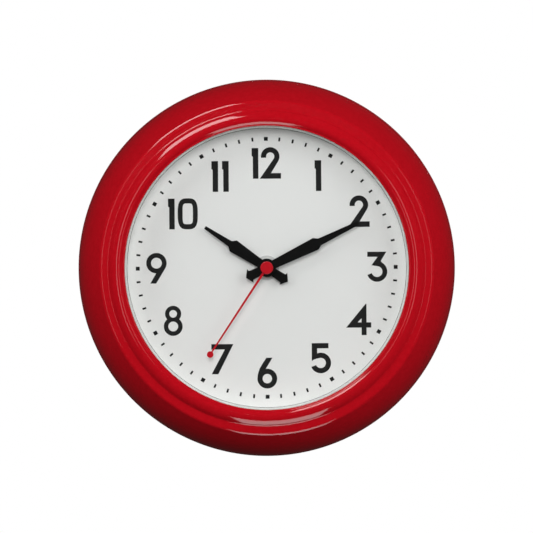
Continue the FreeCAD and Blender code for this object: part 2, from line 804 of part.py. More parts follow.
def make_train_plate():
    """Plate between the two halves: it carries the wheels, the step motor and the board."""
    body = new_body("train_plate")
    side = f"({INNER_SIDE} - plate_gap)"
    low = f"{TRAIN_LOW} + plate_gap"
    high = f"{INNER} - plate_gap"
    pad(body, PLATE_START, PLATE_FRONT, rectangle(f"-{side}", low, side, high, "plate_gap"))
    leg_left = "stator_left + stator_leg / 2"
    leg_right = "stator_right - stator_leg / 2"
    motor_pillars = [
        circle("pillar_radius", leg_left, "stator_bridge"),
        circle("pillar_radius", leg_right, "stator_bridge"),
    ]
    pad(body, STATOR_FRONT, PLATE_START, *motor_pillars)
    board_pillars = [
        circle("pillar_radius", "board_left + board_pillar_inset", "board_high - board_pillar_inset"),
        circle("pillar_radius", "board_right - board_pillar_inset", "board_high - board_pillar_inset"),
    ]
    pad(body, f"{BOARD_START} + board_thickness", PLATE_START, *board_pillars)
    holes = [circle(PIVOT_HOLE, *AXES[name]) for name in ("step", "rotor", "third", "minute")]
    holes.append(circle("setting_arbor_radius + running_gap", *AXES["setting"]))
    holes.append(circle("clutch_radius + running_gap"))
    pocket(body, PLATE_START, PLATE_FRONT, *holes)


# ---- wheel train ---------------------------------------------------------------------------------


def tooth_outline(teeth, module):
    """A drawing step: one tooth along +X, straight to the pitch circle and narrower to its tip."""
    pitch = f"{teeth} * {module} / 2"
    base = f"{pitch} - (tooth_root + tooth_bite) * {module}"
    tip = f"{pitch} + tooth_tip * {module}"
    wide = f"tooth_half_width * {module}"
    narrow = f"tooth_half_tip * {module}"
    lower = [(base, f"-{wide}"), (pitch, f"-{wide}"), (tip, f"-{narrow}")]
    upper = [(tip, narrow), (pitch, wide), (base, wide)]
    return outline(*(lower + upper))


def add_gear(body, teeth, module, start, end):
    pad(body, start, end, circle(f"{teeth} * {module} / 2 - tooth_root * {module}"))
    tooth = pad(body, start, end, tooth_outline(teeth, module))
    repeat(body, [tooth], teeth)


def mesh_turn(direction, teeth, turn, next_teeth):
    """The turn that puts a gap of the next gear over a tooth of the one before.

    direction is from the first axis to the next, and turn is the first gear's own.
    """
    return f"({direction} + 180 + 180 / {next_teeth} + ({direction} - {turn}) * {teeth} / {next_teeth})"


def gear_end(start):
    return f"({start} + gear_thickness)"


def wheel_body(label, axis, turn, start, end):
    """A body with an arbor from one depth to another, and a pivot at each end."""
    body = new_body(label, axis[0], axis[1], turn)
    pad(body, start, end, circle("arbor_radius"))
    pad(body, f"{start} - pivot_length", start, circle("pivot_radius"))
    pad(body, end, f"{end} + pivot_length", circle("pivot_radius"))
    return body


SECOND_TURN = "0"
STEP_TURN = mesh_turn("step_direction", "second_wheel_teeth", SECOND_TURN, "step_pinion_teeth")
ROTOR_TURN = mesh_turn("rotor_direction", "step_wheel_teeth", STEP_TURN, "rotor_teeth")
THIRD_TURN = mesh_turn("third_direction", "second_pinion_teeth", SECOND_TURN, "third_wheel_teeth")
CENTRE_TURN = mesh_turn("third_direction + 180", "third_pinion_teeth", THIRD_TURN, "centre_wheel_teeth")
CANNON_TURN = "0"
MINUTE_TURN = mesh_turn("minute_direction", "cannon_teeth", CANNON_TURN, "minute_wheel_teeth")
HOUR_TURN = mesh_turn("minute_direction + 180", "minute_pinion_teeth", MINUTE_TURN, "hour_wheel_teeth")
SETTING_TURN = mesh_turn("setting_direction", "minute_wheel_teeth", MINUTE_TURN, "setting_teeth")

TRAIN_BACK = f"({MOVEMENT_COVER_FRONT} + running_gap)"
TRAIN_FRONT = f"({PLATE_START} - running_gap)"
MOTION_BACK = f"({PLATE_FRONT} + running_gap)"
MOTION_FRONT = f"({MOVEMENT_INSIDE} - running_gap)"


def make_rotor():
    """Rotor of the step motor: pinion and hub on one arbor."""
    body = wheel_body("rotor", AXES["rotor"], ROTOR_TURN, TRAIN_BACK, TRAIN_FRONT)
    pinion_end = f"{gear_end(STEP_START)} + pinion_overlap"
    add_gear(body, "rotor_teeth", "rotor_module", f"{STEP_START} - pinion_overlap", pinion_end)
    pad(body, MAGNET_START, f"{MAGNET_START} + magnet_height", circle("magnet_hub_radius"))


def make_rotor_magnet():
    body = new_body("rotor_magnet", *AXES["rotor"])
    ring = (circle("magnet_radius"), circle("magnet_hub_radius"))
    pad(body, MAGNET_START, f"{MAGNET_START} + magnet_height", *ring)


def make_step_wheel():
    body = wheel_body("step_wheel", AXES["step"], STEP_TURN, TRAIN_BACK, TRAIN_FRONT)
    add_gear(body, "step_wheel_teeth", "rotor_module", STEP_START, gear_end(STEP_START))
    pinion_end = f"{gear_end(SECOND_START)} + pinion_overlap"
    add_gear(body, "step_pinion_teeth", "step_module", gear_end(STEP_START), pinion_end)


def make_second_wheel():
    """Second wheel and pinion on the long arbor that carries the second hand."""
    body = new_body("second_wheel", turn=SECOND_TURN)
    pad(body, TRAIN_BACK, SECOND_ARBOR_END, circle("second_arbor_radius"))
    pad(body, f"{TRAIN_BACK} - pivot_length", TRAIN_BACK, circle("pivot_radius"))
    add_gear(body, "second_wheel_teeth", "step_module", SECOND_START, gear_end(SECOND_START))
    pinion_end = f"{gear_end(THIRD_START)} + pinion_overlap"
    add_gear(body, "second_pinion_teeth", THIRD_MODULE, gear_end(SECOND_START), pinion_end)


def make_third_wheel():
    body = wheel_body("third_wheel", AXES["third"], THIRD_TURN, TRAIN_BACK, TRAIN_FRONT)
    add_gear(body, "third_wheel_teeth", THIRD_MODULE, THIRD_START, gear_end(THIRD_START))
    pinion_end = f"{gear_end(CENTRE_START)} + pinion_overlap"
    add_gear(body, "third_pinion_teeth", "centre_module", gear_end(THIRD_START), pinion_end)


def make_centre_wheel():
    """Centre wheel: its hub grips the minute pipe as a friction clutch."""
    body = new_body("centre_wheel", turn=CENTRE_TURN)
    add_gear(body, "centre_wheel_teeth", "centre_module", CENTRE_START, gear_end(CENTRE_START))
    hub_end = f"({gear_end(CENTRE_START)} + clutch_hub_height)"
    pad(body, gear_end(CENTRE_START), hub_end, circle("clutch_hub_radius"))
    pocket(body, CENTRE_START, hub_end, circle("clutch_radius"))


def make_minute_pipe():
    """Minute pipe with its cannon pinion: the second arbor runs through it."""
    body = new_body("minute_pipe", turn=CANNON_TURN)
    pad(body, MOTION_BACK, MINUTE_PIPE_END, circle("minute_pipe_radius"))
    pad(body, CENTRE_START, MOTION_BACK, circle("clutch_radius"))
    add_gear(body, "cannon_teeth", "cannon_module", CANNON_START, gear_end(CANNON_START))
    pocket(body, CENTRE_START, MINUTE_PIPE_END, circle("second_arbor_radius + running_gap"))


def make_minute_wheel():
    """Wheel and pinion of the motion work, between the cannon pinion and the hour wheel."""
    body = wheel_body("minute_wheel", AXES["minute"], MINUTE_TURN, MOTION_BACK, MOTION_FRONT)
    add_gear(body, "minute_wheel_teeth", "cannon_module", CANNON_START, gear_end(CANNON_START))
    pinion_end = f"{gear_end(HOUR_START)} + pinion_overlap"
    add_gear(body, "minute_pinion_teeth", HOUR_MODULE, gear_end(CANNON_START), pinion_end)


def make_hour_wheel():
    """Hour wheel and its pipe, which turns between the minute pipe and the sleeve."""
    body = new_body("hour_wheel", turn=HOUR_TURN)
    pad(body, HOUR_START, HOUR_PIPE_END, circle("hour_pipe_radius"))
    add_gear(body, "hour_wheel_teeth", HOUR_MODULE, HOUR_START, gear_end(HOUR_START))
    pocket(body, HOUR_START, HOUR_PIPE_END, circle("minute_pipe_radius + running_gap"))


def make_set_knob():
    """Knob at the back that sets the hands, with its arbor and gear in the motion work."""
    body = new_body("set_knob", AXES["setting"][0], AXES["setting"][1], SETTING_TURN)
    knob_end = "(knob_stand_off + knob_height)"
    pad(body, "knob_stand_off", knob_end, circle("knob_radius"))
    notch = pocket(body, "knob_stand_off", knob_end, circle("knob_notch_radius", "knob_radius"))
    repeat(body, [notch], "knob_notches")
    pad(body, knob_end, MOTION_FRONT, circle("setting_arbor_radius"))
    pad(body, MOTION_FRONT, f"{MOTION_FRONT} + pivot_length", circle("pivot_radius"))
    add_gear(body, "setting_teeth", "cannon_module", CANNON_START, gear_end(CANNON_START))


# ---- step motor, circuit and battery -------------------------------------------------------------


def make_stator():
    """Soft-iron plate round the rotor, with two legs up to the coil's core."""
    body = new_body("stator")
    inner_left = "stator_left + stator_leg"
    inner_right = "stator_right - stator_leg"
    plate = outline(
        ("stator_left", "stator_shelf"),
        ("stator_step", "stator_shelf"),
        ("stator_step", "stator_low"),
        ("stator_right", "stator_low"),
        ("stator_right", "stator_top"),
        (inner_right, "stator_top"),
        (inner_right, "stator_bridge"),
        (inner_left, "stator_bridge"),
        (inner_left, "stator_top"),
        ("stator_left", "stator_top"),
    )
    rotor_hole = circle("magnet_radius + stator_gap", *AXES["rotor"])
    pad(body, STATOR_START, STATOR_FRONT, plate, rotor_hole)
    pocket(body, STATOR_START, STATOR_FRONT, *core_screw_circles("core_screw_radius"))


def core_screw_circles(radius):
    """The two screws that hold the coil's core on the stator's legs."""
    left = "stator_left + stator_leg / 2"
    right = "stator_right - stator_leg / 2"
    return [circle(radius, x, CORE_MIDDLE) for x in (left, right)]


def make_coil_core():
    body = new_body("coil_core")
    bar = rectangle("stator_left", "core_low", "stator_right", "stator_top")
    pad(body, CORE_START, STATOR_START, bar)
    pocket(body, CORE_START, STATOR_START, *core_screw_circles("core_screw_radius"))


def make_core_screws():
    body = new_body("core_screws")
    heads = core_screw_circles("core_screw_head_radius")
    pad(body, f"{CORE_START} - core_screw_head_height", CORE_START, *heads)
    pad(body, CORE_START, STATOR_FRONT, *core_screw_circles("core_screw_radius"))


def make_along_core(label, pieces):
    """A body of round pieces about the coil's core: each is (left, right, radius), hole last."""
    body = new_body(label)
    for left, right, *radii in pieces:
        sketch = new_sketch(body, "YZ_Plane", left)
        for radius in radii:
            circle(radius, f"-{CORE_DEPTH}", CORE_MIDDLE)(sketch)
        feature = body.newObject("PartDesign::Pad", "Pad")
        feature.Profile = sketch
        bind(feature, "Length", f"({right}) - ({left})")
    return body


def make_coil():
    """Bobbin with a flange at each end, and the copper winding between them."""
    left_end = f"({BOBBIN_LEFT} + bobbin_flange)"
    right_end = f"({BOBBIN_RIGHT} - bobbin_flange)"
    flanged = [
        (BOBBIN_LEFT, BOBBIN_RIGHT, "winding_core_radius"),
        (BOBBIN_LEFT, left_end, "bobbin_flange_radius"),
        (right_end, BOBBIN_RIGHT, "bobbin_flange_radius"),
    ]
    bobbin = make_along_core("coil_bobbin", flanged)
    bar = rectangle("stator_left", "core_low", "stator_right", "stator_top")
    pocket(bobbin, CORE_START, STATOR_START, bar)
    make_along_core("coil_winding", [(left_end, right_end, "winding_radius", "winding_core_radius")])


def make_circuit_board():
    body = new_body("circuit_board")
    board = rectangle("board_left", "board_low", "board_right", "board_high", "board_round")
    pad(body, BOARD_START, f"{BOARD_START} + board_thickness", board)


def make_board_parts():
    """Quartz crystal lying on the board in its can, and the sealed chip beside it."""
    crystal = new_body("quartz_crystal")
    sketch = new_sketch(crystal, "YZ_Plane", "board_left + crystal_inset")
    circle("crystal_radius", f"-({BOARD_START} - crystal_radius)", "board_low + crystal_inset")(sketch)
    feature = crystal.newObject("PartDesign::Pad", "Pad")
    feature.Profile = sketch
    bind(feature, "Length", "crystal_length")
    chip = new_body("timing_chip")
    spot = ("board_right - chip_inset", "board_low + chip_inset")
    pad(chip, f"{BOARD_START} - chip_height", BOARD_START, circle("chip_radius", *spot))


def make_battery():
    """AA cell in its bay: it lifts out backwards."""
    body = new_body("battery")
    sections = [
        (f"-{BATTERY_HALF}", f"{BATTERY_HALF} - nub_length", "battery_radius"),
        (f"{BATTERY_HALF} - nub_length", BATTERY_HALF, "nub_radius"),
    ]
    for left, right, radius in sections:
        sketch = new_sketch(body, "YZ_Plane", left)
        circle(radius, f"-{BATTERY_DEPTH}", BATTERY_HEIGHT)(sketch)
        feature = body.newObject("PartDesign::Pad", "Pad")
        feature.Profile = sketch
        bind(feature, "Length", f"({right}) - ({left})")


def make_contact(label, side):
    """A spring strip folded between the end wall of the bay and the end of the battery."""
    body = new_body(label)
    sketch = new_sketch(body, "XY_Plane", f"{BATTERY_HEIGHT} - contact_width / 2")
    wall = f"{side} * {INNER_SIDE}"
    wall_inside = f"{side} * ({INNER_SIDE} - contact_thickness)"
    tip = f"{side} * {BATTERY_HALF}"
    tip_back = f"{side} * ({BATTERY_HALF} + contact_thickness)"
    far = f"-({BATTERY_DEPTH} + contact_reach / 2)"
    near = f"-({BATTERY_DEPTH} - contact_reach / 2)"
    fold = f"{near} - contact_thickness"
    points = [(wall, far), (wall, near), (tip, near), (tip, f"{far} + contact_relief")]
    points += [(tip_back, f"{far} + contact_relief"), (tip_back, fold), (wall_inside, fold)]
    points += [(wall_inside, far)]
    outline(*points)(sketch)
    feature = body.newObject("PartDesign::Pad", "Pad")
    feature.Profile = sketch
    bind(feature, "Length", "contact_width")


# ---- hands ---------------------------------------------------------------------------------------


def make_hand(label, name, front, pipe_radius):
    """A pressed hand with a pointed tip, shoulders, a round hub and a barbed tail."""
    body = new_body(label, turn=f"-{name}_angle")
    back = f"({front} - hand_thickness)"
    right_half = [
        (f"{name}_tip_half", f"{name}_share * {LIP}"),
        (f"{name}_neck_half", f"{name}_neck"),
        (f"{name}_shoulder_half", f"{name}_shoulder"),
        (f"{name}_waist_half", "0"),
        (f"{name}_tail_half", f"-{name}_tail"),
        (f"{name}_barb_half", f"-{name}_tail - {name}_tail_barb"),
    ]
    point = [("0", f"-{name}_tail_end")]
    left_half = [(f"-({x})", y) for x, y in reversed(right_half)]
    pad(body, back, front, outline(*(right_half + point + left_half)))
    pad(body, back, front, circle(f"{name}_hub_radius"))
    pad(body, f"{back} - {name}_boss_height", back, circle(f"{name}_boss_radius"))
    pocket(body, f"{back} - {name}_boss_height", front, circle(pipe_radius))


def make_second_hand():
    """Needle with a small disc near its tip."""
    body = new_body("second_hand", turn="-second_angle")
    back = f"({NEEDLE_FRONT} - second_thickness)"
    reach = f"(second_share * {LIP})"
    root, tip = "second_root_half", "second_tip_half"
    needle = outline((f"-{root}", "0"), (root, "0"), (tip, reach), (f"-{tip}", reach))
    pad(body, back, NEEDLE_FRONT, needle)
    pad(body, back, NEEDLE_FRONT, circle("second_disc_radius", "0", reach))
    pad(body, back, NEEDLE_FRONT, circle("second_hub_radius"))
    pocket(body, back, NEEDLE_FRONT, circle("second_arbor_radius"))


def make_second_cap():
    """Turned cap that closes the hub of the second hand."""
    cap_front = f"({NEEDLE_FRONT} + cap_height)"
    section = [
        ("second_arbor_radius", NEEDLE_FRONT),
        ("cap_radius", NEEDLE_FRONT),
        ("cap_radius", cap_front, "cap_round"),
        ("0", cap_front),
        ("0", SECOND_ARBOR_END),
        ("second_arbor_radius", SECOND_ARBOR_END),
    ]
    revolve(new_body("second_hand_cap"), section)


# ---- the whole clock -----------------------------------------------------------------------------


def make_clock():
    make_case_shell()
    make_case_lugs()
    make_back_cover()
    make_cover_screws()
    make_lens()
    make_lens_seal()
    make_spacer_ring()
    pad(new_body("dial"), DIAL_BACK, DIAL_FRONT, circle(DIAL), circle("sleeve_radius + sleeve_gap"))
    make_washer_like("cushion_washer", MOVEMENT_FRONT, DIAL_BACK, "cushion_radius")
    make_washer_like("dial_washer", DIAL_FRONT, WASHER_FRONT, "washer_radius")
    make_dial_nut()
    make_mounting_sleeve()
    make_movement_housing()
    make_movement_cover()
    make_train_plate()
    make_rotor()
    make_rotor_magnet()
    make_step_wheel()
    make_second_wheel()
    make_third_wheel()
    make_centre_wheel()
    make_minute_pipe()
    make_minute_wheel()
    make_hour_wheel()
    make_set_knob()
    make_stator()
    make_coil_core()
    make_core_screws()
    make_coil()
    make_circuit_board()
    make_board_parts()
    make_battery()
    make_contact("contact_positive", "1")
    make_contact("contact_negative", "-1")
    make_hand("hour_hand", "hour", HOUR_HAND_FRONT, "hour_pipe_radius")
    make_hand("minute_hand", "minute", MINUTE_HAND_FRONT, "minute_pipe_radius")
    make_second_hand()
    make_second_cap()
    doc.recompute()


def check_document():
    """Stop if any object failed, or if a sub-part's shape is null, empty or not valid."""
    for item in doc.Objects:
        if "Invalid" in item.State or "Error" in item.State:
            raise RuntimeError(f"{item.Name} failed: {item.State}")
    for body in sub_parts():
        if body.Shape.isNull() or not body.Shape.isValid() or body.Shape.Volume <= 0:
            raise RuntimeError(f"{body.Label} has no valid shape")


def sub_parts():
    return [item for item in doc.Objects if item.isDerivedFrom("PartDesign::Body")]


def write_parts():
    os.makedirs("parts", exist_ok=True)
    for body in sub_parts():
        body.Shape.exportStep(f"parts/{body.Label}.step")


make_clock()
check_document()
write_parts()
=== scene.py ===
import json
import math

import bpy
from mathutils import Matrix, Vector


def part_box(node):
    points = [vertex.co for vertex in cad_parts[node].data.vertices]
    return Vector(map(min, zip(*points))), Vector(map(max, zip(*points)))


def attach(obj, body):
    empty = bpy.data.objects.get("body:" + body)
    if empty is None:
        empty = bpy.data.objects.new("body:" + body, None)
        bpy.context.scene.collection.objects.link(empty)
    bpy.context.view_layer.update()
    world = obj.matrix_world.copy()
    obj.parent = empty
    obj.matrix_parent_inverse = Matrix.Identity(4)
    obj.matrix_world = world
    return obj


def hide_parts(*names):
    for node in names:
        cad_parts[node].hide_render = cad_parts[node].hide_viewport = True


# Looks of the wall clock. Metres, +Z up, the dial faces -Y, and the origin is where the hands' axis
# meets the wall. "Depth" is the distance from the wall towards the viewer, so depth = -Y.

MM = 0.001
QUARTER_TURN = math.radians(90)

# Spun case, as it is turned: widths and drops across the rim, in millimetres.
LENS_OVERLAP = 7
LIP_WIDTH = 1.0
LIP_DROP = 1.7
CREST_WIDTH = 4.5
BEAD_DROP = 2.9
BEAD_FALL = 2.9
LEDGE_WIDTH = 5.3
SKIRT_INSET = 4
STEEL = 0.8
FLANGE_WIDTH = 7
BEND_HEIGHT = 22
FOOT_HEIGHT = 3
LIP_ROUND = 0.5
LIP_HOLLOW = 1.0
CREST_INNER_ROUND = 4.0
CREST_OUTER_ROUND = 6.7
BEAD_HOLLOW = 1.5
SHOULDER_ROUND = 2.6
SKIRT_ROUND = 60
FOOT_ROUND = 8
EDGE_ROUND = 1.2
HALF_BEND = math.radians(22.5)
CASE_SEGMENTS = 256
ARC_STEP = math.radians(4)
SHARP_ANGLE = math.radians(40)

# Dial print, in millimetres.
INK_THICKNESS = 0.03
MARK_CIRCLE = 81.3
HOUR_MARK = 2.45
MINUTE_MARK_LENGTH = 2.5
MINUTE_MARK_WIDTH = 1.2
# Painted shade: a fine dark ring of ink on the dial's edge, at the foot of the ring round it.
SHADE_LINE_INSET = 0.35
SHADE_LINE_WIDTH = 0.2
DIGIT_HEIGHT = 19.4
DIGIT_ARC_STEP = math.radians(6)
LONGEST_CHORD = 1
SQUARED_POINTS = 72
MINUTES = 60
MINUTES_IN_HOUR_MARK = 5

# Middle of each numeral from the hands' axis, and the gap between the origins of its two digits.
NUMERALS = {
    "12": (0.2, 66.1),
    "1": (32.7, 57.9),
    "2": (58.4, 35.3),
    "3": (69.7, 0.2),
    "4": (57.8, -33.0),
    "5": (33.9, -57.2),
    "6": (-0.1, -66.4),
    "7": (-28.3, -57.4),
    "8": (-59.2, -33.0),
    "9": (-69.5, 0.2),
    "10": (-52.6, 34.4),
    "11": (-29.0, 57.8),
}
DIGIT_GAP = {"12": 5.05, "10": 6.1, "11": 6.7}

# Finishes: two shades, the size of their grain, the range of roughness, and the rest of the surface.
FINISHES = {
    "red_enamel": dict(
        dark=(0.46, 0.003, 0.009), light=(0.5, 0.004, 0.011),
        scale=350, roughness=(0.05, 0.08), bump=0.04, bump_depth=0.012, detail=2,
    ),
    "bright_zinc": dict(
        dark=(0.5, 0.5, 0.48), light=(0.72, 0.72, 0.7),
        scale=900, roughness=(0.25, 0.45), metallic=1, bump=0.15,
    ),
    "black_moulding": dict(
        dark=(0.014, 0.014, 0.015), light=(0.028, 0.028, 0.03),
        scale=2600, roughness=(0.45, 0.62), bump=0.5, bump_depth=0.06,
    ),
    "black_rubber": dict(
        dark=(0.012, 0.012, 0.012), light=(0.022, 0.022, 0.022),
        scale=2500, roughness=(0.7, 0.85), bump=0.3,
    ),
    "white_moulding": dict(
        dark=(0.84, 0.84, 0.82), light=(0.88, 0.88, 0.86),
        scale=1400, roughness=(0.4, 0.5), bump=0.1,
    ),
    "dial_white": dict(
        dark=(0.85, 0.85, 0.84), light=(0.87, 0.87, 0.86),
        scale=2200, roughness=(0.5, 0.6), bump=0.12, bump_depth=0.01,
    ),
    "dial_ink": dict(
        dark=(0.012, 0.012, 0.012), light=(0.018, 0.018, 0.018),
        scale=2500, roughness=(0.55, 0.7), bump=0.2, specular=0.15,
    ),
    "chrome_ring": dict(
        dark=(0.86, 0.87, 0.88), light=(0.94, 0.95, 0.96),
        scale=1500, roughness=(0.2, 0.3), metallic=0.35, bump=0.08,
    ),
    "turned_brass": dict(
        dark=(0.58, 0.4, 0.16), light=(0.75, 0.55, 0.25),
        scale=700, roughness=(0.2, 0.35), metallic=1, bump=0.2, stretch=(1, 8, 1),
    ),
    "black_movement": dict(
        dark=(0.016, 0.016, 0.018), light=(0.03, 0.03, 0.033),
        scale=1900, roughness=(0.3, 0.45), bump=0.3, bump_depth=0.04,
    ),
    "natural_acetal": dict(
        dark=(0.72, 0.7, 0.62), light=(0.8, 0.78, 0.71),
        scale=900, roughness=(0.35, 0.5), bump=0.1,
    ),
    "black_hand": dict(
        dark=(0.003, 0.003, 0.003), light=(0.006, 0.006, 0.006),
        scale=1800, roughness=(0.5, 0.65), bump=0.15, specular=0.1,
    ),
    "red_hand": dict(
        dark=(0.5, 0.004, 0.012), light=(0.56, 0.006, 0.016),
        scale=1500, roughness=(0.3, 0.42), bump=0.1, specular=0.2,
    ),
    "magnet": dict(
        dark=(0.09, 0.09, 0.1), light=(0.16, 0.16, 0.17),
        scale=1500, roughness=(0.4, 0.6), metallic=0.8, bump=0.3,
    ),
    "soft_iron": dict(
        dark=(0.3, 0.3, 0.31), light=(0.46, 0.46, 0.47),
        scale=900, roughness=(0.3, 0.45), metallic=1, bump=0.2, stretch=(6, 1, 1),
    ),
    "green_board": dict(
        dark=(0.012, 0.11, 0.04), light=(0.02, 0.16, 0.06),
        scale=500, roughness=(0.25, 0.4), bump=0.3,
    ),
    "black_resin": dict(
        dark=(0.008, 0.008, 0.008), light=(0.014, 0.014, 0.014),
        scale=600, roughness=(0.2, 0.3), bump=0.2,
    ),
}

# Banded surfaces: two shades, the pitch of the bands in millimetres, and the rest of the surface.
BANDED = {
    # Copper wire: darker where the relief dips between turns, which is painted shade in the grooves.
    "copper_wire": dict(
        dark=(0.3, 0.09, 0.035), light=(0.62, 0.24, 0.1),
        pitch=0.25, roughness=0.3, metallic=1, bump=0.8,
    ),
    "battery_sleeve": dict(
        dark=(0.05, 0.055, 0.065), light=(0.62, 0.63, 0.65),
        pitch=60, roughness=0.3, metallic=0.6, bump=0,
    ),
}
GRAIN_SHADES = (0.3, 0.7)
WAVE_UNIT = 20
BAND_WAVER = 0.4
BAND_RELIEF = 0.05 * MM
GLASS_TINT = (0.985, 0.99, 0.988, 1)
GLASS_ROUGHNESS = 0.02
GLASS_FACE_ON = 0.02
GLASS_STEEPNESS = 5

# Camera and light.
CAMERA_DISTANCE = 1.5
CAMERA_RIGHT = -0.13 * MM
CAMERA_RAISE = 0.83 * MM
CAMERA_ROLL = math.radians(-0.4)
FOCAL_LENGTH = 158.6
SENSOR_WIDTH = 36
FLOOR_HEIGHT = -0.75
FLOOR_HALF = 1.4
FLOOR_FINISH = dict(dark=(0.7, 0.7, 0.69), light=(0.76, 0.76, 0.75), scale=20, roughness=(0.6, 0.8))
WORLD_MATT = 0.115
WORLD_GLOSS = 0.02
WORLD_SEEN = 1

# Softboxes: azimuth and polar angle in degrees, distance, width and height in metres, and radiance.
MATT_LIGHTS = {
    "key": (22, 48, 1.2, 0.8, 0.8, 2.7),
    "fill_left": (150, 60, 1.2, 0.9, 0.7, 2.7),
    "front": (100, 15, 1.2, 0.4, 0.4, 12.5),
    "side_right": (-5, 78, 1.2, 0.9, 0.6, 1.2),
    "side_top": (100, 80, 1.2, 0.9, 0.6, 0.5),
    "back": (60, 150, 1.2, 0.8, 0.8, 9),
}
GLOSS_LIGHTS = {
    "glint_top_left": (116.5, 56, 0.9, 0.42, 0.48, 8),
    "glint_bottom": (-85, 67, 0.55, 0.3, 0.4, 4),
    "glint_left": (172, 17.5, 0.9, 0.36, 0.11, 2.2),
    "glint_right": (8, 17.5, 0.9, 0.3, 0.11, 2.0),
}

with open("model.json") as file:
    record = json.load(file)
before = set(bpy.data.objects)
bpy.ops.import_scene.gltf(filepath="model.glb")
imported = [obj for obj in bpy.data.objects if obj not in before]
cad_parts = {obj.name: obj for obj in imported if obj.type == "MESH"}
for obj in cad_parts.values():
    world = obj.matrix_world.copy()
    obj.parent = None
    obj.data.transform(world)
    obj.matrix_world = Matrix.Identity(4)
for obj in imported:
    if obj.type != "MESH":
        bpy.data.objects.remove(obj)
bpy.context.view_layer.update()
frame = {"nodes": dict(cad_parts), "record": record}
nodes = frame["nodes"]


# ---- meshes --------------------------------------------------------------------------------------


def add_mesh(name, vertices, faces, body, slot):
    """A new smooth piece that rides on a body and takes its finish from a material slot."""
    mesh = bpy.data.meshes.new(name)
    mesh.from_pydata(vertices, [], faces)
    mesh.validate()
    mesh.update()
    piece = bpy.data.objects.new(name, mesh)
    bpy.context.scene.collection.objects.link(piece)
    mesh.shade_smooth()
    mesh.materials.append(material(slot))
    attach(piece, body)
    return piece


def arc_points(centre, radius, start, end, step):
    """Points on an arc, both ends included; angles in radians."""
    count = max(2, math.ceil(abs(end - start) / step))
    points = []
    for i in range(count + 1):
        angle = start + (end - start) * i / count
        points.append((centre[0] + radius * math.cos(angle), centre[1] + radius * math.sin(angle)))
    return points


def rounded(corners, step):
    """A closed outline through corners (x, y, radius), with tangent arcs at the rounded ones."""
    outline = []
    for i, (x, y, radius) in enumerate(corners):
        if radius == 0:
            outline.append((x, y))
            continue
        corner = Vector((x, y))
        before = (Vector(corners[i - 1][:2]) - corner).normalized()
        after = (Vector(corners[(i + 1) % len(corners)][:2]) - corner).normalized()
        half = before.angle(after) / 2
        centre = corner + (before + after).normalized() * radius / math.sin(half)
        first = corner + before * radius / math.tan(half) - centre
        last = corner + after * radius / math.tan(half) - centre
        start = math.atan2(first.y, first.x)
        turn = math.remainder(math.atan2(last.y, last.x) - start, math.tau)
        outline += arc_points(centre, radius, start, start + turn, step)
    return outline


def lathe(name, outline, segments, body, slot):
    """Turn a closed outline of (radius, depth) in millimetres about the hands' axis."""
    vertices = []
    for k in range(segments):
        angle = math.tau * k / segments
        for radius, depth in outline:
            across = radius * math.sin(angle)
            up = radius * math.cos(angle)
            vertices.append((across * MM, -depth * MM, up * MM))
    count = len(outline)
    faces = []
    for k in range(segments):
        here = k * count
        following = (k + 1) % segments * count
        for i in range(count):
            j = (i + 1) % count
            faces.append((here + i, following + i, following + j, here + j))
    return add_mesh(name, vertices, faces, body, slot)


# ---- materials -----------------------------------------------------------------------------------


def new_material(name):
    made = bpy.data.materials.new(name)
    made.use_nodes = True
    made.node_tree.nodes.clear()
    return made, made.node_tree.nodes, made.node_tree.links


def add_node(tree, kind, **values):
    """A node with some of its inputs set; an input's name is written with _ for each space."""
    node = tree.new(kind)
    for name, value in values.items():
        node.inputs[name.replace("_", " ")].default_value = value
    return node


def two_shades(tree, dark, light, ends):
    """A ramp from one shade to another between two heights of a pattern."""
    ramp = tree.new("ShaderNodeValToRGB")
    for element, place, shade in zip(ramp.color_ramp.elements, ends, (dark, light)):
        element.position = place
        element.color = (*shade, 1)
    return ramp


def link_surface(tree, links, pattern, ramp, relief, shader):
    """Drive colour and relief from one pattern, and send the shader to the output."""
    output = tree.new("ShaderNodeOutputMaterial")
    links.new(pattern.outputs["Fac"], ramp.inputs["Fac"])
    links.new(pattern.outputs["Fac"], relief.inputs["Height"])
    links.new(ramp.outputs["Color"], shader.inputs["Base Color"])
    links.new(relief.outputs["Normal"], shader.inputs["Normal"])
    links.new(shader.outputs["BSDF"], output.inputs["Surface"])


def finish_material(
    name,
    dark,
    light,
    scale=300,
    roughness=(0.4, 0.5),
    metallic=0,
    bump=0.1,
    bump_depth=0.02,
    stretch=(1, 1, 1),
    detail=4,
    specular=0.5,
):
    """Principled surface whose colour, roughness and relief follow one noise in the object's metres."""
    made, tree, links = new_material(name)
    place = add_node(tree, "ShaderNodeTexCoord")
    mapping = add_node(tree, "ShaderNodeMapping", Scale=stretch)
    noise = add_node(tree, "ShaderNodeTexNoise", Scale=scale, Detail=detail)
    ramp = two_shades(tree, dark, light, GRAIN_SHADES)
    rough = add_node(tree, "ShaderNodeMapRange", To_Min=roughness[0], To_Max=roughness[1])
    relief = add_node(tree, "ShaderNodeBump", Strength=bump, Distance=bump_depth * MM)
    shader = add_node(tree, "ShaderNodeBsdfPrincipled", Metallic=metallic, Specular_IOR_Level=specular)
    links.new(place.outputs["Object"], mapping.inputs["Vector"])
    links.new(mapping.outputs["Vector"], noise.inputs["Vector"])
    links.new(noise.outputs["Fac"], rough.inputs["Value"])
    links.new(rough.outputs["Result"], shader.inputs["Roughness"])
    link_surface(tree, links, noise, ramp, relief, shader)
    return made


